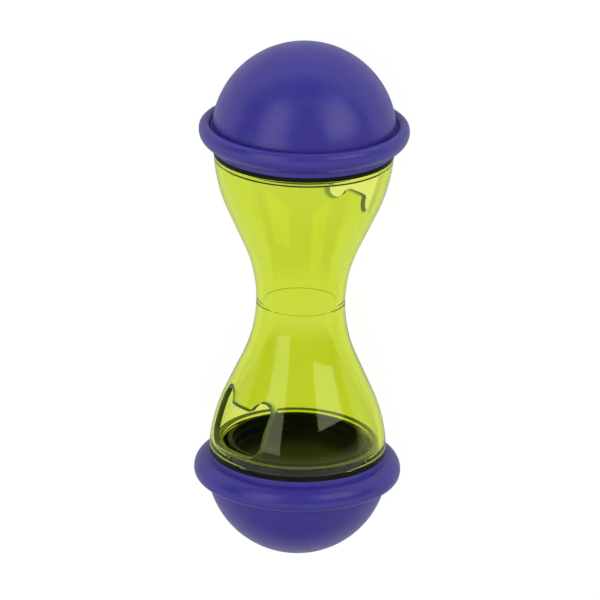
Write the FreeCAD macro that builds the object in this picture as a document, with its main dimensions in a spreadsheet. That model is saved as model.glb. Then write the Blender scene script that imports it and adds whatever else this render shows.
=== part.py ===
import FreeCAD, Part
import os
import re

import Sketcher

# Treat dispenser shaped like an hourglass: two clear bells meet at a narrow waist, and each
# wide end is closed by a threaded lid that carries a hollow rubber dome with a fat bead.
# Each piece is drawn about its own Z axis, with Z = 0 at the waist and Z growing towards the
# dome, and is then laid down along the Y axis of the part, on its two beads.

doc = FreeCAD.newDocument("treat_dispenser")
sheet = doc.addObject("Spreadsheet::Sheet", "Sizes")

# Driving dimensions, in millimetres and degrees
DRIVING = {
    "waist_radius": 16.2,
    "waist_arc": 52.3,
    "flare_angle": 24.6,
    "mouth_arc": 58.4,
    "crest_radius": 32.6,
    "bell_length": 56.5,
    "bell_wall": 2.4,
    "ledge_width": 2.3,
    "ledge_round": 0.5,
    "seam_groove": 0.35,
    "neck_wall": 1.6,
    "neck_length": 9.0,
    "neck_lead": 0.5,
    "outlet_start": 36.2,
    "outlet_width": 26.4,
    "outlet_margin": 2.2,
    "outlet_corner": 5.0,
    "ear_radius": 3.8,
    "ear_root": 1.5,
    "outlet_turn": 38.5,
    "outlet_round": 0.7,
    "cup_gap": 2.0,
    "cup_wall": 1.6,
    "cup_depth": 6.3,
    "cup_step_height": 2.4,
    "cup_step_width": 0.8,
    "cup_round": 1.0,
    "floor_wall": 2.2,
    "thread_space": 0.8,
    "skirt_wall": 1.4,
    "end_clearance": 0.3,
    "web_wall": 2.0,
    "band_height": 1.65,
    "band_stand": 0.15,
    "band_round": 0.3,
    "rib_height": 2.5,
    "rib_reach": 1.75,
    "rubber_clearance": 0.1,
    "lip_height": 2.0,
    "lip_wall": 1.2,
    "bead_radius": 5.3,
    "dome_rise": 26.6,
    "dome_wall": 3.0,
    "groove_round": 0.8,
}

# Sizes that follow from them
DERIVED = {
    "waist_arc_end_r": "waist_radius + waist_arc * (1 - cos(flare_angle * 1deg))",
    "waist_arc_end_z": "waist_arc * sin(flare_angle * 1deg)",
    "mouth_arc_start_r": "crest_radius - mouth_arc * (1 - cos(flare_angle * 1deg))",
    "mouth_arc_start_z": "waist_arc_end_z + (mouth_arc_start_r - waist_arc_end_r) / tan(flare_angle * 1deg)",
    "crest_z": "mouth_arc_start_z + mouth_arc * sin(flare_angle * 1deg)",
    "mouth_centre_r": "crest_radius - mouth_arc",
    "shoulder_r": "mouth_centre_r + sqrt(mouth_arc ^ 2 - (crest_z - bell_length) ^ 2)",
    "wall_in": "bell_wall * cos(flare_angle * 1deg)",
    "wall_up": "bell_wall * sin(flare_angle * 1deg)",
    "ledge_z": "bell_length - bell_wall",
    "ledge_r": "mouth_centre_r + sqrt((mouth_arc - bell_wall) ^ 2 - (crest_z - ledge_z) ^ 2)",
    "neck_bore": "ledge_r - ledge_width",
    "neck_radius": "neck_bore + neck_wall",
    "neck_end": "bell_length + neck_length",
    "outlet_side": "outlet_width / 2",
    "outlet_end_z": "ledge_z - outlet_margin",
    "ear_y": "outlet_side - ear_radius",
    "root_y": "ear_y - sqrt((ear_radius + ear_root) ^ 2 - ear_root ^ 2)",
    "touch_y": "ear_y - (ear_y - root_y) * ear_radius / (ear_radius + ear_root)",
    "touch_z": "outlet_start - ear_root * ear_radius / (ear_radius + ear_root)",
    "cup_outer": "neck_bore - cup_gap",
    "cup_mouth_r": "cup_outer - cup_wall",
    "cup_radius": "cup_mouth_r - cup_step_width",
    "cup_step_z": "ledge_z + cup_step_height",
    "cup_floor_z": "ledge_z + cup_depth",
    "floor_top_z": "cup_floor_z + floor_wall",
    "skirt_bore": "neck_radius + thread_space",
    "skirt_radius": "skirt_bore + skirt_wall",
    "web_under_z": "neck_end + end_clearance",
    "lid_top_z": "web_under_z + web_wall",
    "band_radius": "shoulder_r + band_stand",
    "band_top_z": "bell_length + band_height",
    "lip_end_z": "band_top_z + lip_height",
    "bead_z": "lip_end_z + bead_radius",
    "rib_radius": "skirt_radius + rib_reach",
    "rubber_bore": "skirt_radius + rubber_clearance",
    "bead_top_z": "bead_z + bead_radius",
    "dome_foot": "rubber_bore + lip_wall",
    "bead_reach": "dome_foot + bead_radius",
    "dome_radius": "(dome_foot ^ 2 + dome_rise ^ 2) / (2 * dome_rise)",
    "dome_tip_z": "bead_top_z + dome_rise",
    "dome_centre_z": "dome_tip_z - dome_radius",
    "dome_inner": "dome_radius - dome_wall",
    "seat_r": "sqrt(dome_inner ^ 2 - (lid_top_z - dome_centre_z) ^ 2)",
}


def fill_sheet():
    """Writes every size into the sheet, one row each: its name, its value and its alias."""
    row = 1
    for name, number in DRIVING.items():
        sheet.set(f"A{row}", name)
        sheet.set(f"B{row}", str(number))
        sheet.setAlias(f"B{row}", name)
        row += 1
    for name, formula in DERIVED.items():
        sheet.set(f"A{row}", name)
        sheet.set(f"B{row}", "=" + formula)
        sheet.setAlias(f"B{row}", name)
        row += 1
    doc.recompute()


def bound(text):
    """The same formula with each size's name pointing into the sheet."""
    known = {**DRIVING, **DERIVED}
    return re.sub(r"[a-z]\w*", lambda m: "Sizes." + m[0] if m[0] in known else m[0], text)


def value(text):
    """The number that a formula of sizes comes to."""
    return float(sheet.evalExpression(text))


def origin_part(body, role):
    """The plane or axis of the body's own origin with this role."""
    return next(part for part in body.Origin.OriginFeatures if part.Role == role)


def new_sketch(body, name, role):
    """A sketch on one of the body's own origin planes."""
    sketch = body.newObject("Sketcher::SketchObject", name)
    sketch.AttachmentSupport = [(origin_part(body, role), "")]
    sketch.MapMode = "FlatFace"
    return sketch


def pin_down(sketch, edge, end, corner):
    """Holds one end of an edge at a corner, given as two formulas."""
    for kind, formula in zip(("DistanceX", "DistanceY"), corner):
        number = sketch.addConstraint(Sketcher.Constraint(kind, -1, 1, edge, end, value(formula)))
        sketch.setExpression(f"Constraints[{number}]", bound(formula))


def outline(body, name, steps, plane="XZ_Plane"):
    """A closed outline on one of the body's own planes, for a half section or a cut.

    Each step is a corner as (across, height), or as (across, height, arc, side) where an arc
    leads from this corner to the next. Side is 1 where the arc's centre lies to the left of the
    way from one corner to the next, and -1 where it lies to the right.
    """
    sketch = new_sketch(body, name, plane)
    corners = [FreeCAD.Vector(value(step[0]), value(step[1]), 0) for step in steps]
    for number, step in enumerate(steps):
        start = corners[number]
        end = corners[(number + 1) % len(steps)]
        if len(step) == 2:
            sketch.addGeometry(Part.LineSegment(start, end), False)
            first, last = 1, 2
        else:
            half = (end - start) * 0.5
            radius = value(step[2])
            rise = (radius**2 - half.Length**2) ** 0.5
            left = FreeCAD.Vector(-half.y, half.x, 0).normalize()
            centre = start + half + left * rise * step[3]
            middle = centre - left * radius * step[3]
            arc = Part.Arc(start, middle, end)
            sketch.addGeometry(arc, False)
            first, last = (1, 2) if step[3] > 0 else (2, 1)
            held = sketch.addConstraint(Sketcher.Constraint("Radius", number, radius))
            sketch.setExpression(f"Constraints[{held}]", bound(step[2]))
        pin_down(sketch, number, first, step[:2])
        pin_down(sketch, number, last, steps[(number + 1) % len(steps)][:2])
    return sketch


def revolve(body, name, sketch):
    """A full turn of a half section about the body's Z axis."""
    turned = body.newObject("PartDesign::Revolution", name)
    turned.Profile = sketch
    turned.ReferenceAxis = (sketch, ["V_Axis"])
    turned.Angle = 360
    doc.recompute()
    return turned


def round_edges(body, name, feature, radius, wanted):
    """A fillet on the edges of a feature for which wanted(edge) is true."""
    edges = [f"Edge{n}" for n, edge in enumerate(feature.Shape.Edges, 1) if wanted(edge)]
    fillet = body.newObject("PartDesign::Fillet", name)
    fillet.Base = (feature, edges)
    fillet.setExpression("Radius", bound(radius))
    doc.recompute()
    return fillet


def ring_at(radius, height):
    """A test for the round edge about the Z axis with this radius and height."""
    def wanted(edge):
        round_edge = not edge.Degenerated and isinstance(edge.Curve, Part.Circle)
        return (
            round_edge
            and abs(edge.Curve.Radius - value(radius)) < 0.01
            and abs(edge.Curve.Center.z - value(height)) < 0.01
        )
    return wanted


def outlet_rims(shape):
    """The edges where the sides of the outlet's cut meet the outer and inner faces of the wall."""
    rims = []
    for face in shape.Faces:
        first_u, last_u, first_v, last_v = face.ParameterRange
        spots = [(first_u + (last_u - first_u) * a, first_v + (last_v - first_v) * b)
                 for a in (0.1, 0.5, 0.9) for b in (0.1, 0.5, 0.9)]
        along_cut = all(abs(face.normalAt(*spot).x) < 1e-6 for spot in spots)
        low, high = face.BoundBox.ZMin, face.BoundBox.ZMax
        within = low > value("outlet_start - ear_radius") - 0.01 and high < value("outlet_end_z") + 0.01
        if along_cut and within:
            rims += [edge for edge in face.Edges if not isinstance(edge.Curve, Part.Line)]
    return rims


def lay_down(body, direction, turn=0.0):
    """Lays a piece along +Y or -Y, turned about its own axis, at the height of the beads."""
    flat = FreeCAD.Rotation(FreeCAD.Vector(1, 0, 0), -90 * direction)
    spin = FreeCAD.Rotation(FreeCAD.Vector(0, 0, 1), turn)
    body.Placement = FreeCAD.Placement(FreeCAD.Vector(0, 0, value("bead_reach")), flat * spin)
    body.setExpression("Placement.Base.z", bound("bead_reach"))


def make_bell(name, direction, turn):
    """One clear bell: flared wall, inward ledge at the mouth, neck for the lid, treat outlet."""
    body = doc.addObject("PartDesign::Body", name)
    section = outline(body, name + "_section", [
        ("waist_radius - seam_groove", "0"),
        ("waist_radius", "seam_groove", "waist_arc", -1),
        ("waist_arc_end_r", "waist_arc_end_z"),
        ("mouth_arc_start_r", "mouth_arc_start_z", "mouth_arc", 1),
        ("shoulder_r", "bell_length"),
        ("neck_radius", "bell_length"),
        ("neck_radius", "neck_end - neck_lead"),
        ("neck_radius - neck_lead", "neck_end"),
        ("neck_bore", "neck_end"),
        ("neck_bore", "ledge_z"),
        ("ledge_r", "ledge_z", "mouth_arc - bell_wall", -1),
        ("mouth_arc_start_r - wall_in", "mouth_arc_start_z + wall_up"),
        ("waist_arc_end_r - wall_in", "waist_arc_end_z + wall_up", "waist_arc + bell_wall", 1),
        ("waist_radius - bell_wall", "0"),
    ])
    wall = revolve(body, name + "_wall", section)
    round_edges(body, name + "_ledge", wall, "ledge_round", ring_at("ledge_r", "ledge_z"))

    # The outlet is cut from the axis through the wall on one side only. It has rounded corners
    # next to the lid, and next to the waist two round ears with a tongue of the wall between.
    window = outline(body, name + "_outlet_outline", [
        ("outlet_side - outlet_corner", "outlet_end_z"),
        ("outlet_corner - outlet_side", "outlet_end_z", "outlet_corner", 1),
        ("-outlet_side", "outlet_end_z - outlet_corner"),
        ("-outlet_side", "outlet_start", "ear_radius", 1),
        ("-touch_y", "touch_z", "ear_root", -1),
        ("-root_y", "outlet_start"),
        ("root_y", "outlet_start", "ear_root", -1),
        ("touch_y", "touch_z", "ear_radius", 1),
        ("outlet_side", "outlet_start"),
        ("outlet_side", "outlet_end_z - outlet_corner", "outlet_corner", 1),
    ], "YZ_Plane")
    outlet = body.newObject("PartDesign::Pocket", name + "_outlet")
    outlet.Profile = window
    outlet.Type = "Length"
    outlet.setExpression("Length", bound("crest_radius * 2"))
    outlet.Reversed = True
    doc.recompute()
    if outlet.Shape.Solids[0].CenterOfMass.x > 0:
        raise RuntimeError("the outlet is cut on the wrong side")
    rims = outlet_rims(outlet.Shape)
    round_edges(body, name + "_outlet_lip", outlet, "outlet_round",
                lambda edge: any(edge.isSame(rim) for rim in rims))
    lay_down(body, direction, turn)
    return body


def make_lid(name, direction):
    """One threaded lid: a cup inside the neck, a web over the neck's end, a skirt around it."""
    body = doc.addObject("PartDesign::Body", name)
    section = outline(body, name + "_section", [
        ("0", "cup_floor_z"),
        ("cup_radius", "cup_floor_z"),
        ("cup_radius", "cup_step_z"),
        ("cup_mouth_r", "cup_step_z"),
        ("cup_mouth_r", "ledge_z"),
        ("cup_outer", "ledge_z"),
        ("cup_outer", "web_under_z"),
        ("skirt_bore", "web_under_z"),
        ("skirt_bore", "bell_length"),
        ("band_radius", "bell_length"),
        ("band_radius", "band_top_z"),
        ("skirt_radius", "band_top_z"),
        ("skirt_radius", "bead_z - rib_height / 2"),
        ("rib_radius", "bead_z - rib_height / 2"),
        ("rib_radius", "bead_z + rib_height / 2"),
        ("skirt_radius", "bead_z + rib_height / 2"),
        ("skirt_radius", "lid_top_z"),
        ("cup_radius", "lid_top_z"),
        ("cup_radius", "floor_top_z"),
        ("0", "floor_top_z"),
    ])
    turned = revolve(body, name + "_wall", section)
    soft = round_edges(body, name + "_cup_round", turned, "cup_round",
                       ring_at("cup_radius", "cup_floor_z"))
    round_edges(body, name + "_band_round", soft, "band_round",
                ring_at("band_radius", "bell_length"))
    lay_down(body, direction)
    return body


def make_cap(name, direction):
    """One hollow rubber dome: a lip, a fat half-round bead, a groove inside for the lid's rib."""
    body = doc.addObject("PartDesign::Body", name)
    section = outline(body, name + "_section", [
        ("rubber_bore", "band_top_z"),
        ("dome_foot", "band_top_z"),
        ("dome_foot", "lip_end_z", "bead_radius", 1),
        ("bead_reach", "bead_z", "bead_radius", 1),
        ("dome_foot", "bead_top_z", "dome_radius", 1),
        ("0", "dome_tip_z"),
        ("0", "dome_tip_z - dome_wall", "dome_inner", -1),
        ("seat_r", "lid_top_z"),
        ("rubber_bore", "lid_top_z"),
        ("rubber_bore", "bead_z + rib_height / 2 + rubber_clearance"),
        ("rib_radius + rubber_clearance", "bead_z + rib_height / 2 + rubber_clearance"),
        ("rib_radius + rubber_clearance", "bead_z - rib_height / 2 - rubber_clearance"),
        ("rubber_bore", "bead_z - rib_height / 2 - rubber_clearance"),
    ])
    turned = revolve(body, name + "_wall", section)
    round_edges(body, name + "_groove", turned, "groove_round",
                ring_at("dome_foot", "bead_top_z"))
    lay_down(body, direction)
    return body


fill_sheet()
pieces = []
for end, direction in (("upper", 1), ("lower", -1)):
    turn = value("outlet_turn") if direction > 0 else 180 - value("outlet_turn")
    pieces.append(make_bell(end + "_bell", direction, turn))
    pieces.append(make_lid(end + "_lid", direction))
    pieces.append(make_cap(end + "_cap", direction))
doc.recompute()

for item in doc.Objects:
    if "Invalid" in item.State or "Error" in item.State:
        raise RuntimeError(f"{item.Name} did not compute: {item.State}")

os.makedirs("parts", exist_ok=True)
for piece in pieces:
    shape = piece.Shape
    if shape.isNull() or not shape.isValid() or len(shape.Solids) != 1:
        raise RuntimeError(f"{piece.Label} is not one valid solid")
    shape.exportStep(f"parts/{piece.Label}.step")
    print(piece.Label, round(shape.Volume / 1000, 2), "cubic centimetres")
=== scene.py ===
import math

import bmesh
import bpy
from mathutils import Matrix, Vector


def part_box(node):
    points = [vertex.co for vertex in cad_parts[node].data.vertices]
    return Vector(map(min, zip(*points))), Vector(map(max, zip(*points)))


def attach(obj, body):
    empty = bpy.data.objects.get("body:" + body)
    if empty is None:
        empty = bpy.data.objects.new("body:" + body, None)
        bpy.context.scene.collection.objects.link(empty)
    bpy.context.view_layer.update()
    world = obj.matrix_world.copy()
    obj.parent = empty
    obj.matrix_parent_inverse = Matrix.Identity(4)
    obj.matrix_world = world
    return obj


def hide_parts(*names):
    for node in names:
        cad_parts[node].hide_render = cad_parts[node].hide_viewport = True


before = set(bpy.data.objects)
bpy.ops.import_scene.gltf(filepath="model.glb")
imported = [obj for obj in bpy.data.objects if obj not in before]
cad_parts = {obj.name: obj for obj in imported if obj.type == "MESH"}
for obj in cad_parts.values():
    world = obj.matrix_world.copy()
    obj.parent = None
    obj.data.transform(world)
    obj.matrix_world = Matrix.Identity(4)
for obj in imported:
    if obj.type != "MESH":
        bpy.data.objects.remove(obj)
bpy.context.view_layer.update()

# Sizes of the toy in millimetres. Each piece is drawn about its own Z axis, with Z = 0 at the
# waist and Z growing towards the dome, as it is in the frame's solids.
MM = 0.001
WAIST_RADIUS = 16.2
WAIST_ARC = 52.3
FLARE = math.radians(24.6)
MOUTH_ARC = 58.4
CREST_RADIUS = 32.6
BELL_LENGTH = 56.5
BELL_WALL = 2.4
SEAM_GROOVE = 0.2
THREAD_PITCH = 3.4
THREAD_DEPTH = 0.55
THREAD_START = 1.4
THREAD_MARGIN = 0.8
THREAD_FADE = 1.0

OUTLET_START = 36.2
OUTLET_END = 51.9
OUTLET_SIDE = 13.2
OUTLET_CORNER = 5.0
EAR_RADIUS = 3.8
EAR_ROOT = 1.5
OUTLET_LIP = 0.7
OUTLET_TURN = 38.5

# Columns of a full turn, columns each side of an outlet's middle, rows along an outlet, and the
# heights of the patch around it on the wall's outer and inner face
TURNS = 216
PATCH_COLUMNS = 26
PATCH_ROWS = 30
OUTER_PATCH = 28.0, 54.4
INNER_PATCH = 28.6, 53.3

# Edges that turn by more than this, in degrees, are drawn sharp
SHARP_ANGLE = 40

# Where the wall's lower arc ends, where its mouth arc starts, and where it is widest
LOW_R = WAIST_RADIUS + WAIST_ARC * (1 - math.cos(FLARE))
LOW_Z = WAIST_ARC * math.sin(FLARE)
HIGH_R = CREST_RADIUS - MOUTH_ARC * (1 - math.cos(FLARE))
HIGH_Z = LOW_Z + (HIGH_R - LOW_R) / math.tan(FLARE)
CREST_Z = HIGH_Z + MOUTH_ARC * math.sin(FLARE)


def bell_radius(z, inset=0.0):
    """The radius of the flared wall at height z, on the surface that lies inset mm inside."""
    shift_r, shift_z = inset * math.cos(FLARE), inset * math.sin(FLARE)
    if z < LOW_Z + shift_z:
        return WAIST_RADIUS + WAIST_ARC - math.sqrt((WAIST_ARC + inset) ** 2 - z**2)
    if z < HIGH_Z + shift_z:
        return LOW_R - shift_r + (z - LOW_Z - shift_z) * math.tan(FLARE)
    return CREST_RADIUS - MOUTH_ARC + math.sqrt((MOUTH_ARC - inset) ** 2 - (CREST_Z - z) ** 2)


# Neck and lid
LEDGE_WIDTH = 2.3
NECK_WALL = 1.6
NECK_LENGTH = 9.0
CUP_GAP = 2.0
CUP_WALL = 1.6
CUP_STEP_WIDTH = 0.8
CUP_STEP_HEIGHT = 2.4
CUP_DEPTH = 6.3
FLOOR_WALL = 2.2
THREAD_SPACE = 0.8
SKIRT_WALL = 1.4
END_CLEARANCE = 0.3
WEB_WALL = 2.0
BAND_STAND = 0.15
BAND_HEIGHT = 1.65

SHOULDER = bell_radius(BELL_LENGTH)
LEDGE = BELL_LENGTH - BELL_WALL
NECK_BORE = bell_radius(LEDGE, BELL_WALL) - LEDGE_WIDTH
NECK_RADIUS = NECK_BORE + NECK_WALL
NECK_END = BELL_LENGTH + NECK_LENGTH
CUP_OUTER = NECK_BORE - CUP_GAP
CUP_MOUTH = CUP_OUTER - CUP_WALL
CUP_RADIUS = CUP_MOUTH - CUP_STEP_WIDTH
CUP_STEP = LEDGE + CUP_STEP_HEIGHT
CUP_FLOOR = LEDGE + CUP_DEPTH
FLOOR_TOP = CUP_FLOOR + FLOOR_WALL
SKIRT_BORE = NECK_RADIUS + THREAD_SPACE
SKIRT_RADIUS = SKIRT_BORE + SKIRT_WALL
WEB_UNDER = NECK_END + END_CLEARANCE
LID_TOP = WEB_UNDER + WEB_WALL
BAND_RADIUS = SHOULDER + BAND_STAND
BAND_TOP = BELL_LENGTH + BAND_HEIGHT

# Rubber cap. The bead's rim rolls over from RIM_START to RIM_END, in degrees, towards a trough
# beside the dome.
RUBBER_CLEARANCE = 0.1
LIP_WALL = 1.2
LIP_HEIGHT = 2.0
BEAD_RADIUS = 5.3
RIM_RADIUS = 2.2
RIM_START = 14
RIM_END = 150
TROUGH_RISE = 1.3
RIB_HEIGHT = 2.5
RIB_REACH = 1.75
DOME_RISE = 26.6
DOME_WALL = 3.0

RUBBER_BORE = SKIRT_RADIUS + RUBBER_CLEARANCE
DOME_FOOT = RUBBER_BORE + LIP_WALL
LIP_END = BAND_TOP + LIP_HEIGHT
BEAD_Z = LIP_END + BEAD_RADIUS
BEAD_TOP = BEAD_Z + BEAD_RADIUS
RIB_LOW = BEAD_Z - RIB_HEIGHT / 2
RIB_HIGH = BEAD_Z + RIB_HEIGHT / 2
RIB_RADIUS = SKIRT_RADIUS + RIB_REACH
DOME_RADIUS = (DOME_FOOT**2 + DOME_RISE**2) / (2 * DOME_RISE)
DOME_TIP = BEAD_TOP + DOME_RISE
DOME_CENTRE = DOME_TIP - DOME_RADIUS
AXIS_HEIGHT = (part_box("upper_cap")[0].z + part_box("upper_cap")[1].z) / 2


# Outlines

def steps_between(start, end, count):
    """Count + 1 even steps from start to end."""
    return [start + (end - start) * n / count for n in range(count + 1)]


def line(start, end, gap=0.8):
    """A straight run of (radius, height) points."""
    count = max(1, math.ceil(math.dist(start, end) / gap))
    return list(zip(steps_between(start[0], end[0], count), steps_between(start[1], end[1], count)))


def arc(centre, radius, start, end, gap=0.8):
    """A round run about a centre, from one angle to another, in degrees from the radial way."""
    count = max(2, math.ceil(abs(math.radians(end - start)) * radius / gap))
    return [
        (centre[0] + radius * math.cos(math.radians(a)), centre[1] + radius * math.sin(math.radians(a)))
        for a in steps_between(start, end, count)
    ]


def trimmed(run, length):
    """The run without its first stretch of this length."""
    run = list(run)
    while len(run) > 2 and math.dist(run[0], run[1]) <= length:
        length -= math.dist(run[0], run[1])
        run.pop(0)
    share = min(length / math.dist(run[0], run[1]), 0.95)
    run[0] = tuple(a + (b - a) * share for a, b in zip(run[0], run[1]))
    return run


def joined(runs, softs):
    """One outline from runs that meet end to end. Corner n, at the end of run n, is rounded."""
    shaped = [list(run) for run in runs]
    last = len(runs) - 1
    for n in range(last):
        if softs[n]:
            shaped[n] = trimmed(shaped[n][::-1], softs[n])[::-1]
            shaped[n + 1] = trimmed(shaped[n + 1], softs[n])
    points = []
    for n, run in enumerate(shaped):
        points += run if not points or softs[n - 1] else run[1:]
        if n < last and softs[n]:
            start, corner, end = run[-1], runs[n][-1], shaped[n + 1][0]
            for t in (0.17, 0.33, 0.5, 0.67, 0.83):
                points.append(tuple(
                    (1 - t) ** 2 * a + 2 * t * (1 - t) * b + t**2 * c
                    for a, b, c in zip(start, corner, end)))
    return points


def evenly(path, count):
    """Count + 1 points at even steps along a path."""
    lengths = [0.0]
    for here, there in zip(path, path[1:]):
        lengths.append(lengths[-1] + math.dist(here, there))
    points, n = [], 0
    for wanted in steps_between(0.0, lengths[-1], count):
        while n < len(path) - 2 and lengths[n + 1] < wanted:
            n += 1
        share = (wanted - lengths[n]) / (lengths[n + 1] - lengths[n])
        points.append(tuple(a + (b - a) * share for a, b in zip(path[n], path[n + 1])))
    return points


# Meshes

def laid(direction, turn=0.0):
    """The place of a piece in the frame: along +Y or -Y at the height of the beads, in metres."""
    return (
        Matrix.Translation((0, 0, AXIS_HEIGHT))
        @ Matrix.Rotation(math.radians(-90 * direction), 4, "X")
        @ Matrix.Rotation(math.radians(turn), 4, "Z")
        @ Matrix.Scale(MM, 4)
    )


def piece_from(name, parts):
    """An object from parts, each a shape and its place. Parts that meet are welded.

    A shape is its vertices, its faces and how far each vertex lies on a cut edge, from 0 to 1.
    """
    corners, faces, cut = [], [], []
    for (part_vertices, part_faces, part_cut), place in parts:
        first = len(corners)
        corners += [tuple(place @ Vector(v)) for v in part_vertices]
        faces += [[first + n for n in face] for face in part_faces]
        cut += part_cut
    mesh = bpy.data.meshes.new(name)
    mesh.from_pydata(corners, [], faces)
    mesh.attributes.new("cut_edge", "FLOAT", "POINT").data.foreach_set("value", cut)
    work = bmesh.new()
    work.from_mesh(mesh)
    bmesh.ops.remove_doubles(work, verts=work.verts, dist=1e-6)
    bmesh.ops.recalc_face_normals(work, faces=work.faces)
    work.to_mesh(mesh)
    work.free()
    for face in mesh.polygons:
        face.use_smooth = True
    mesh.set_sharp_from_angle(angle=math.radians(SHARP_ANGLE))
    piece = bpy.data.objects.new(name, mesh)
    bpy.context.scene.collection.objects.link(piece)
    return piece


def revolved(outline, swell=None, holes=()):
    """Vertices, faces and rows of vertices of an outline turned about Z.

    Swell gives how far a point stands out at an angle. Holes are row ranges that stay open in
    the columns of the outlet. Rows that lie on the axis are one vertex each.
    """
    vertices, rows = [], []
    for r, z in outline:
        if r < 1e-6:
            rows.append([len(vertices)] * TURNS)
            vertices.append((0, 0, z))
            continue
        rows.append([len(vertices) + n for n in range(TURNS)])
        for n in range(TURNS):
            angle = -math.pi + math.tau * n / TURNS
            reach = r + (swell(angle, r, z) if swell else 0.0)
            vertices.append((reach * math.cos(angle), reach * math.sin(angle), z))
    middle = TURNS // 2
    faces = []
    for i, (here, there) in enumerate(zip(rows, rows[1:])):
        in_hole = any(low <= i < high for low, high in holes)
        for n in range(TURNS):
            if in_hole and middle - PATCH_COLUMNS <= n < middle + PATCH_COLUMNS:
                continue
            corners = [here[n], here[(n + 1) % TURNS], there[(n + 1) % TURNS], there[n]]
            faces.append([c for k, c in enumerate(corners) if c not in corners[:k]])
    return vertices, faces, rows


def turned_whole(outline):
    """The shape of an outline turned about Z, without a cut edge."""
    vertices, faces = revolved(outline)[:2]
    return vertices, faces, [0.0] * len(vertices)


def loop_around(rows, low, high):
    """The vertices around the outlet's patch, from its waist side, the same way on both faces."""
    middle = TURNS // 2
    first, last = middle - PATCH_COLUMNS, middle + PATCH_COLUMNS
    step = 1 if high > low else -1
    upward = list(range(low, high, step))
    downward = list(range(high, low, -step))
    return (
        [rows[low][n] for n in range(first, last)]
        + [rows[i][last] for i in upward]
        + [rows[high][n] for n in range(last, first, -1)]
        + [rows[i][first] for i in downward]
    )


def outlet_edge():
    """The outlet's edge as seen along its cut: points (y, z), each with the way into the wall.

    It starts at the middle of the waist side and has as many points as a loop of the patch.
    """
    ear_y = OUTLET_SIDE - EAR_RADIUS
    tilt = math.degrees(math.asin(EAR_ROOT / (EAR_RADIUS + EAR_ROOT)))
    root_y = ear_y - (EAR_RADIUS + EAR_ROOT) * math.cos(math.radians(tilt))
    corner_y, corner_z = OUTLET_SIDE - OUTLET_CORNER, OUTLET_END - OUTLET_CORNER
    path = (
        line((0, OUTLET_START), (root_y, OUTLET_START), 0.1)
        + arc((root_y, OUTLET_START - EAR_ROOT), EAR_ROOT, 90, tilt, 0.1)[1:]
        + arc((ear_y, OUTLET_START), EAR_RADIUS, tilt - 180, 0, 0.1)[1:]
        + line((OUTLET_SIDE, OUTLET_START), (OUTLET_SIDE, corner_z), 0.1)[1:]
        + arc((corner_y, corner_z), OUTLET_CORNER, 0, 90, 0.1)[1:]
        + line((corner_y, OUTLET_END), (0, OUTLET_END), 0.1)[1:]
    )
    half = evenly(path, 2 * PATCH_COLUMNS + PATCH_ROWS)
    points = half + [(-y, z) for y, z in half[-2:0:-1]]
    ways = []
    for n in range(len(points)):
        before, after = points[n - 1], points[(n + 1) % len(points)]
        span = math.dist(before, after)
        ways.append(((after[1] - before[1]) / span, (before[0] - after[0]) / span))
    return list(zip(points, ways))


def outlet_rings(vertices, outer_loop, inner_loop):
    """Rings of points from the outer face, over the rounded lips and through the wall."""
    edge = outlet_edge()
    edge = edge[-PATCH_COLUMNS:] + edge[:-PATCH_COLUMNS]

    def on_wall(y, z, inset, sink=0.0):
        return (math.sqrt(bell_radius(z, inset) ** 2 - y**2) + sink, y, z)

    def lip(angle, inset):
        margin = OUTLET_LIP * (1 - math.sin(math.radians(angle)))
        sink = OUTLET_LIP * (1 - math.cos(math.radians(angle)))
        return [
            on_wall(y + margin * way_y, z + margin * way_z, inset, sink if inset else -sink)
            for (y, z), (way_y, way_z) in edge
        ]

    def spread(loop, share, inset):
        ring = []
        for (y, z), (way_y, way_z), v in ((*point, v) for point, v in zip(edge, loop)):
            near_y, near_z = y + OUTLET_LIP * way_y, z + OUTLET_LIP * way_z
            far_y, far_z = vertices[v][1:]
            ring.append(on_wall(near_y + (far_y - near_y) * share, near_z + (far_z - near_z) * share, inset))
        return ring

    shares = (0.85, 0.65, 0.45, 0.28, 0.14, 0.05, 0.0)
    rings = [(spread(outer_loop, share, 0.0), 0.0) for share in shares]
    rings += [(lip(angle, 0.0), angle / 90) for angle in (18, 36, 54, 72, 90)]
    rings += [(lip(angle, BELL_WALL), angle / 90) for angle in (90, 72, 54, 36, 18)]
    rings += [(spread(inner_loop, share, BELL_WALL), 0.0) for share in reversed(shares)]
    return rings


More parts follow.
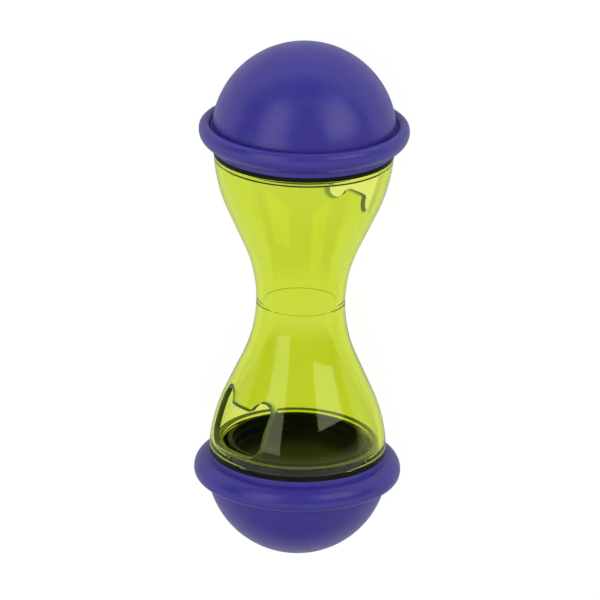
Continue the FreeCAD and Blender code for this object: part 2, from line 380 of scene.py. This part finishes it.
def bell_mesh():
    """The clear bell: flared wall, ledge, threaded neck and the eared outlet through the wall."""
    outer_low, outer_high = OUTER_PATCH
    inner_low, inner_high = INNER_PATCH
    outer_z = (steps_between(SEAM_GROOVE, outer_low, 30)[:-1]
               + steps_between(outer_low, outer_high, PATCH_ROWS)
               + steps_between(outer_high, BELL_LENGTH, 3)[1:])
    inner_z = (steps_between(0.0, inner_low, 30)[:-1]
               + steps_between(inner_low, inner_high, PATCH_ROWS)
               + steps_between(inner_high, LEDGE, 2)[1:])
    outer_wall = [(bell_radius(z), z) for z in outer_z]
    inner_wall = [(bell_radius(z, BELL_WALL), z) for z in inner_z][::-1]
    runs = [
        line((WAIST_RADIUS - SEAM_GROOVE, 0), outer_wall[0]),
        outer_wall,
        line(outer_wall[-1], (NECK_RADIUS, BELL_LENGTH)),
        line((NECK_RADIUS, BELL_LENGTH), (NECK_RADIUS, NECK_END), 0.3),
        line((NECK_RADIUS, NECK_END), (NECK_BORE, NECK_END)),
        line((NECK_BORE, NECK_END), (NECK_BORE, LEDGE)),
        line((NECK_BORE, LEDGE), inner_wall[0]),
        inner_wall,
    ]
    outline = joined(runs, (0.08, 0.25, 0.3, 0.5, 0.3, 0.25, 0))
    thread_low, thread_high = BELL_LENGTH + THREAD_START, NECK_END - THREAD_MARGIN

    def thread(angle, r, z):
        if r < NECK_RADIUS - 0.01 or not thread_low < z < thread_high:
            return 0.0
        phase = (z - thread_low) / THREAD_PITCH - angle / math.tau
        ends = min(1.0, (z - thread_low) / THREAD_FADE, (thread_high - z) / THREAD_FADE)
        return THREAD_DEPTH * ends * max(0.0, math.cos(math.tau * phase)) ** 0.7

    def row_of(run, z):
        return next(i for i, p in enumerate(outline) if p in run and abs(p[1] - z) < 1e-9)

    outer = row_of(outer_wall, outer_low), row_of(outer_wall, outer_high)
    inner = row_of(inner_wall, inner_low), row_of(inner_wall, inner_high)
    vertices, faces, rows = revolved(outline, thread, (outer, inner[::-1]))
    outer_loop = loop_around(rows, *outer)
    inner_loop = loop_around(rows, *inner)
    rings = [outer_loop]
    cut = [0.0] * len(vertices)
    for ring, share in outlet_rings(vertices, outer_loop, inner_loop):
        rings.append([len(vertices) + n for n in range(len(ring))])
        vertices += ring
        cut += [share] * len(ring)
    rings.append(inner_loop)
    for here, there in zip(rings, rings[1:]):
        for n in range(len(here)):
            following = (n + 1) % len(here)
            faces.append([here[n], here[following], there[following], there[n]])
    return vertices, faces, cut


def lid_mesh():
    """The black lid: cup with a step, web over the neck's end, skirt with a rib, visible band.

    Each corner has its radius, its height and how far it is rounded.
    """
    corners = [
        (0, CUP_FLOOR, 0), (CUP_RADIUS, CUP_FLOOR, 1.0), (CUP_RADIUS, CUP_STEP, 0.25),
        (CUP_MOUTH, CUP_STEP, 0.2), (CUP_MOUTH, LEDGE, 0.3), (CUP_OUTER, LEDGE, 0.3),
        (CUP_OUTER, WEB_UNDER, 0.3), (SKIRT_BORE, WEB_UNDER, 0.3), (SKIRT_BORE, BELL_LENGTH, 0.3),
        (BAND_RADIUS, BELL_LENGTH, 0.3), (BAND_RADIUS, BAND_TOP, 0.1),
        (SKIRT_RADIUS, BAND_TOP, 0.1), (SKIRT_RADIUS, RIB_LOW, 0.2),
        (RIB_RADIUS, RIB_LOW, 0.2), (RIB_RADIUS, RIB_HIGH, 0.2),
        (SKIRT_RADIUS, RIB_HIGH, 0.1), (SKIRT_RADIUS, LID_TOP, 0.3),
        (CUP_RADIUS, LID_TOP, 0.3), (CUP_RADIUS, FLOOR_TOP, 0.5), (0, FLOOR_TOP, 0),
    ]
    runs = [line(start[:2], end[:2]) for start, end in zip(corners, corners[1:])]
    return turned_whole(joined(runs, [corner[2] for corner in corners[1:]]))


def cap_mesh():
    """The rubber cap: lip, bead with a rolled rim, trough, hollow dome, slot for the lid's rib."""
    inner = DOME_RADIUS - DOME_WALL
    seat = math.sqrt(inner**2 - (LID_TOP - DOME_CENTRE) ** 2)
    seat_angle = math.degrees(math.asin((LID_TOP - DOME_CENTRE) / inner))
    trough_z = BEAD_Z + TROUGH_RISE
    foot_angle = math.degrees(math.asin((trough_z - DOME_CENTRE) / DOME_RADIUS))
    foot = DOME_RADIUS * math.cos(math.radians(foot_angle))
    rim_reach = BEAD_RADIUS - RIM_RADIUS
    rim_r = DOME_FOOT + rim_reach * math.cos(math.radians(RIM_START))
    rim_z = BEAD_Z + rim_reach * math.sin(math.radians(RIM_START))
    rim = arc((rim_r, rim_z), RIM_RADIUS, RIM_START, RIM_END, 0.3)
    slot_low, slot_high = RIB_LOW - RUBBER_CLEARANCE, RIB_HIGH + RUBBER_CLEARANCE
    slot = RIB_RADIUS + RUBBER_CLEARANCE
    runs = [
        arc((0, DOME_CENTRE), inner, 90, seat_angle),
        line((seat, LID_TOP), (RUBBER_BORE, LID_TOP)),
        line((RUBBER_BORE, LID_TOP), (RUBBER_BORE, slot_high)),
        line((RUBBER_BORE, slot_high), (slot, slot_high)),
        line((slot, slot_high), (slot, slot_low)),
        line((slot, slot_low), (RUBBER_BORE, slot_low)),
        line((RUBBER_BORE, slot_low), (RUBBER_BORE, BAND_TOP)),
        line((RUBBER_BORE, BAND_TOP), (DOME_FOOT, BAND_TOP)),
        line((DOME_FOOT, BAND_TOP), (DOME_FOOT, LIP_END), 0.4),
        arc((DOME_FOOT, BEAD_Z), BEAD_RADIUS, -90, RIM_START, 0.5),
        rim,
        line(rim[-1], (foot, trough_z), 0.3),
        arc((0, DOME_CENTRE), DOME_RADIUS, foot_angle, 90),
    ]
    outline = joined(runs, [0.3] + [0.2] * 8 + [0, 0, 0.6])
    outline[0] = (0, outline[0][1])
    outline[-1] = (0, DOME_TIP)
    return turned_whole(outline)


# Materials

# The clear plastic: what it does to light at its face and inside, and how a cut edge differs. The cut edge's
# dark green is painted shade for the dark lines that refraction draws there.
LIME_IOR = 1.49
LIME_FACE = (0.865, 0.91, 0.42), (0.875, 0.92, 0.44)
LIME_INSIDE = (0.893, 0.933, 0.005, 1)
LIME_DENSITY = 385.0
LIME_SHADOW = (0.96, 0.97, 0.93, 1)
CUT_PAINTED_SHADE = (0.14, 0.30, 0.03, 1)
CUT_HAZE = 0.35
CUT_CLOUDING = 0.25


def new_material(name):
    """A material with nodes, and its shader."""
    material = bpy.data.materials.new(name)
    material.use_nodes = True
    return material, material.node_tree.nodes["Principled BSDF"]


def noise(material, scale, detail=3.0):
    """Noise in the object's own space, the same at any camera."""
    nodes, links = material.node_tree.nodes, material.node_tree.links
    place = nodes.new("ShaderNodeTexCoord")
    texture = nodes.new("ShaderNodeTexNoise")
    texture.inputs["Scale"].default_value = scale
    texture.inputs["Detail"].default_value = detail
    links.new(place.outputs["Object"], texture.inputs["Vector"])
    return texture.outputs["Fac"]


def between(material, source, low, high):
    """A number from low to high as the source goes from 0.3 to 0.7."""
    node = material.node_tree.nodes.new("ShaderNodeMapRange")
    node.inputs["From Min"].default_value = 0.3
    node.inputs["From Max"].default_value = 0.7
    node.inputs["To Min"].default_value = low
    node.inputs["To Max"].default_value = high
    material.node_tree.links.new(source, node.inputs["Value"])
    return node.outputs["Result"]


def blended(material, source, first, second):
    """A colour between two colours, as the source goes from 0.3 to 0.7."""
    node = material.node_tree.nodes.new("ShaderNodeMix")
    node.data_type = "RGBA"
    node.inputs["A"].default_value = (*first, 1)
    node.inputs["B"].default_value = (*second, 1)
    material.node_tree.links.new(between(material, source, 0.0, 1.0), node.inputs["Factor"])
    return node.outputs["Result"]


def bumped(material, shader, source, strength, depth):
    """A bump of this depth in metres from the source."""
    node = material.node_tree.nodes.new("ShaderNodeBump")
    node.inputs["Strength"].default_value = strength
    node.inputs["Distance"].default_value = depth
    material.node_tree.links.new(source, node.inputs["Height"])
    material.node_tree.links.new(node.outputs["Normal"], shader.inputs["Normal"])


def by_ray(tree, plain, choices):
    """The plain shader, and another one for each kind of ray that the choices name."""
    nodes, links = tree.nodes, tree.links
    path = nodes.new("ShaderNodeLightPath")
    result = plain
    for kind, other in choices:
        mixed = nodes.new("ShaderNodeMixShader")
        links.new(path.outputs[kind], mixed.inputs["Fac"])
        links.new(result, mixed.inputs[1])
        links.new(other, mixed.inputs[2])
        result = mixed.outputs["Shader"]
    return result


def clear_lime():
    """Tinted see-through plastic that takes its colour from the way light goes through it."""
    material, shader = new_material("clear_lime")
    nodes, links = material.node_tree.nodes, material.node_tree.links
    output = nodes["Material Output"]
    shader.inputs["IOR"].default_value = LIME_IOR
    cloud = noise(material, 45.0)
    cut = nodes.new("ShaderNodeAttribute")
    cut.attribute_name = "cut_edge"
    # Painted shade: the cut edges are coloured dark green, and let less light through, for the dark lines
    # that refraction draws along the outlet
    edge_shade = nodes.new("ShaderNodeMix")
    edge_shade.data_type = "RGBA"
    edge_shade.inputs["B"].default_value = CUT_PAINTED_SHADE
    links.new(cut.outputs["Fac"], edge_shade.inputs["Factor"])
    links.new(blended(material, cloud, *LIME_FACE), edge_shade.inputs["A"])
    links.new(edge_shade.outputs["Result"], shader.inputs["Base Color"])
    haze = nodes.new("ShaderNodeMath")
    haze.operation = "MULTIPLY_ADD"
    haze.inputs[1].default_value = CUT_HAZE
    links.new(cut.outputs["Fac"], haze.inputs[0])
    links.new(between(material, cloud, 0.0, 0.02), haze.inputs[2])
    links.new(haze.outputs["Value"], shader.inputs["Roughness"])
    clear = nodes.new("ShaderNodeMath")
    clear.operation = "MULTIPLY_ADD"
    clear.inputs[1].default_value = -CUT_CLOUDING
    clear.inputs[2].default_value = 1.0
    links.new(cut.outputs["Fac"], clear.inputs[0])
    links.new(clear.outputs["Value"], shader.inputs["Transmission Weight"])
    bumped(material, shader, noise(material, 60.0, 1.0), 0.08, 0.0003)
    lets_light = nodes.new("ShaderNodeBsdfTransparent")
    lets_light.inputs["Color"].default_value = LIME_SHADOW
    links.new(by_ray(material.node_tree, shader.outputs["BSDF"], (
        ("Is Shadow Ray", lets_light.outputs["BSDF"]),
    )), output.inputs["Surface"])
    inside = nodes.new("ShaderNodeVolumeAbsorption")
    inside.inputs["Color"].default_value = LIME_INSIDE
    inside.inputs["Density"].default_value = LIME_DENSITY
    links.new(inside.outputs["Volume"], output.inputs["Volume"])
    return material


def purple_rubber():
    """Satin rubber with a fine grain and faint lighter clouds."""
    material, shader = new_material("purple_rubber")
    links = material.node_tree.links
    cloud = noise(material, 70.0, 5.0)
    links.new(blended(material, cloud, (0.031, 0.021, 0.258), (0.039, 0.028, 0.288)),
              shader.inputs["Base Color"])
    links.new(between(material, noise(material, 240.0), 0.26, 0.36), shader.inputs["Roughness"])
    shader.inputs["Specular IOR Level"].default_value = 0.55
    bumped(material, shader, noise(material, 1500.0, 2.0), 0.35, 0.00012)
    return material


def black_plastic():
    """Smooth black moulding."""
    material, shader = new_material("black_plastic")
    links = material.node_tree.links
    cloud = noise(material, 90.0)
    links.new(blended(material, cloud, (0.005, 0.007, 0.005), (0.010, 0.013, 0.010)),
              shader.inputs["Base Color"])
    links.new(between(material, cloud, 0.28, 0.40), shader.inputs["Roughness"])
    shader.inputs["Specular IOR Level"].default_value = 0.06
    bumped(material, shader, noise(material, 700.0, 2.0), 0.2, 0.0001)
    return material


def dress(piece, material, body, slot, *nodes):
    """Give a piece its material and body, in place of the solids it stands for."""
    piece.data.materials.append(material)
    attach(piece, body)
    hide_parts(*nodes)


def build_toy():
    """The welded shell, two lids and two caps."""
    lime, rubber, black = clear_lime(), purple_rubber(), black_plastic()
    bell, lid, cap = bell_mesh(), lid_mesh(), cap_mesh()
    halves = [(bell, laid(1, OUTLET_TURN)), (bell, laid(-1, 180 - OUTLET_TURN))]
    dress(piece_from("shell_finished", halves), lime, "shell", "clear_lime", "upper_bell", "lower_bell")
    for end, direction in (("upper", 1), ("lower", -1)):
        finished_lid = piece_from(end + "_lid_finished", [(lid, laid(direction))])
        dress(finished_lid, black, end + "_end", "black_plastic", end + "_lid")
        finished_cap = piece_from(end + "_cap_finished", [(cap, laid(direction))])
        dress(finished_cap, rubber, end + "_end", "purple_rubber", end + "_cap")


# Camera, light and floor

ELEVATION = math.radians(20.55)
ROLL = math.radians(1.21)
DISTANCE = 1.8006
SENSOR = 36.0
FOCAL_PIXELS = 4947.0
FRAME_PIXELS = 600.0
MIDDLE_X, MIDDLE_Y = 300.7, 300.0

# Each lamp's azimuth in degrees, distance, width, low and high end along the toy, and radiance
SOFTBOXES = {
    "left_softbox": (-39.5, 0.70, 0.415, -0.06, 0.95, 1.3),
    "right_softbox": (51.0, 0.70, 0.54, 0.17, 1.0, 1.5),
}

# The floor's and the room's strength, and how bright reflections find the surroundings, from
# the way of the lower dome (-1) to level with the toy's middle (0)
FLOOR_GLOW = 1.07
ROOM_LIGHT = 0.72
SURROUNDINGS = ((-1.0, 0.2), (-0.5, 0.7), (-0.25, 0.9), (0.0, 0.03))
FLOOR_REACH = 4.0

MIDDLE = Vector((0, 0, AXIS_HEIGHT))
BACK = Vector((0, math.sin(ELEVATION), math.cos(ELEVATION)))
ACROSS = Vector((1, 0, 0))
UPWARD = BACK.cross(ACROSS)


def set_camera():
    """The photograph's view: looking down on the toy as it lies, its long axis up the picture."""
    data = bpy.data.cameras.new("camera")
    data.sensor_width = SENSOR
    data.lens = FOCAL_PIXELS / FRAME_PIXELS * SENSOR
    data.clip_end = 20
    camera = bpy.data.objects.new("camera", data)
    bpy.context.scene.collection.objects.link(camera)
    right = ACROSS * math.cos(ROLL) + UPWARD * math.sin(ROLL)
    up = UPWARD * math.cos(ROLL) - ACROSS * math.sin(ROLL)
    metres_per_pixel = DISTANCE / FOCAL_PIXELS
    half = FRAME_PIXELS / 2
    place = MIDDLE + BACK * DISTANCE
    place -= right * (MIDDLE_X - half) * metres_per_pixel
    place += up * (MIDDLE_Y - half) * metres_per_pixel
    turned = Matrix((right, up, BACK)).transposed().to_4x4()
    camera.matrix_world = Matrix.Translation(place) @ turned
    bpy.context.scene.camera = camera


def softbox(name, azimuth, distance, width, low, high, radiance):
    """A soft lamp upright beside the toy's axis, seen from low to high above its middle.

    Its azimuth is counted from the camera's side towards the right of the picture.
    """
    data = bpy.data.lights.new(name, "AREA")
    data.shape = "RECTANGLE"
    data.size = width
    data.size_y = high - low
    data.energy = radiance * math.pi * width * (high - low)
    lamp = bpy.data.objects.new(name, data)
    bpy.context.scene.collection.objects.link(lamp)
    back = Vector((math.sin(math.radians(azimuth)), 0, math.cos(math.radians(azimuth))))
    along = Vector((0, 1, 0))
    place = MIDDLE + back * distance + along * (low + high) / 2
    turned = Matrix((along.cross(back), along, back)).transposed().to_4x4()
    lamp.matrix_world = Matrix.Translation(place) @ turned


def set_floor():
    """A plain white floor that keeps only a light trace of the toy's shadow."""
    mesh = bpy.data.meshes.new("floor")
    corners = [(x * FLOOR_REACH, y * FLOOR_REACH, 0) for x, y in ((-1, -1), (1, -1), (1, 1), (-1, 1))]
    mesh.from_pydata(corners, [], [(0, 1, 2, 3)])
    floor = bpy.data.objects.new("floor", mesh)
    bpy.context.scene.collection.objects.link(floor)
    material, shader = new_material("floor")
    nodes, links = material.node_tree.nodes, material.node_tree.links
    shader.inputs["Base Color"].default_value = (0.9, 0.9, 0.9, 1)
    shader.inputs["Roughness"].default_value = 0.9
    glow = nodes.new("ShaderNodeEmission")
    glow.inputs["Strength"].default_value = FLOOR_GLOW
    white = nodes.new("ShaderNodeMixShader")
    white.inputs["Fac"].default_value = 0.85
    links.new(shader.outputs["BSDF"], white.inputs[1])
    links.new(glow.outputs["Emission"], white.inputs[2])
    dim = nodes.new("ShaderNodeBsdfDiffuse")
    dim.inputs["Color"].default_value = (0.65, 0.65, 0.65, 1)
    links.new(by_ray(material.node_tree, shader.outputs["BSDF"], (
        ("Is Glossy Ray", dim.outputs["BSDF"]),
        ("Is Transmission Ray", white.outputs["Shader"]),
        ("Is Camera Ray", white.outputs["Shader"]),
    )), nodes["Material Output"].inputs["Surface"])
    mesh.materials.append(material)


def set_world():
    """White surroundings to the eye, dim to reflections apart from the table before the toy."""
    world = bpy.data.worlds.new("world")
    bpy.context.scene.world = world
    world.use_nodes = True
    nodes, links = world.node_tree.nodes, world.node_tree.links
    surround = nodes["Background"]
    surround.inputs["Color"].default_value = (1, 1, 1, 1)
    surround.inputs["Strength"].default_value = ROOM_LIGHT
    seen = nodes.new("ShaderNodeBackground")
    seen.inputs["Strength"].default_value = 1.0
    seen.inputs["Color"].default_value = (1, 1, 1, 1)
    place = nodes.new("ShaderNodeTexCoord")
    split = nodes.new("ShaderNodeSeparateXYZ")
    links.new(place.outputs["Generated"], split.inputs["Vector"])
    share = nodes.new("ShaderNodeMapRange")
    share.inputs["From Min"].default_value = -1.0
    share.inputs["From Max"].default_value = 1.0
    links.new(split.outputs["Y"], share.inputs["Value"])
    bands = nodes.new("ShaderNodeValToRGB")
    ramp = bands.color_ramp
    while len(ramp.elements) < len(SURROUNDINGS):
        ramp.elements.new(1.0)
    for element, (height, level) in zip(ramp.elements, SURROUNDINGS):
        element.position = (height + 1) / 2
        element.color = (level, level, level, 1)
    links.new(share.outputs["Result"], bands.inputs["Fac"])
    mirrored = nodes.new("ShaderNodeBackground")
    links.new(bands.outputs["Color"], mirrored.inputs["Color"])
    links.new(by_ray(world.node_tree, surround.outputs["Background"], (
        ("Is Glossy Ray", mirrored.outputs["Background"]),
        ("Is Transmission Ray", mirrored.outputs["Background"]),
        ("Is Camera Ray", seen.outputs["Background"]),
    )), nodes["World Output"].inputs["Surface"])


set_camera()
set_floor()
set_world()
for lamp_name, lamp_values in SOFTBOXES.items():
    softbox(lamp_name, *lamp_values)
bpy.context.scene.view_settings.view_transform = "Standard"

build_toy()
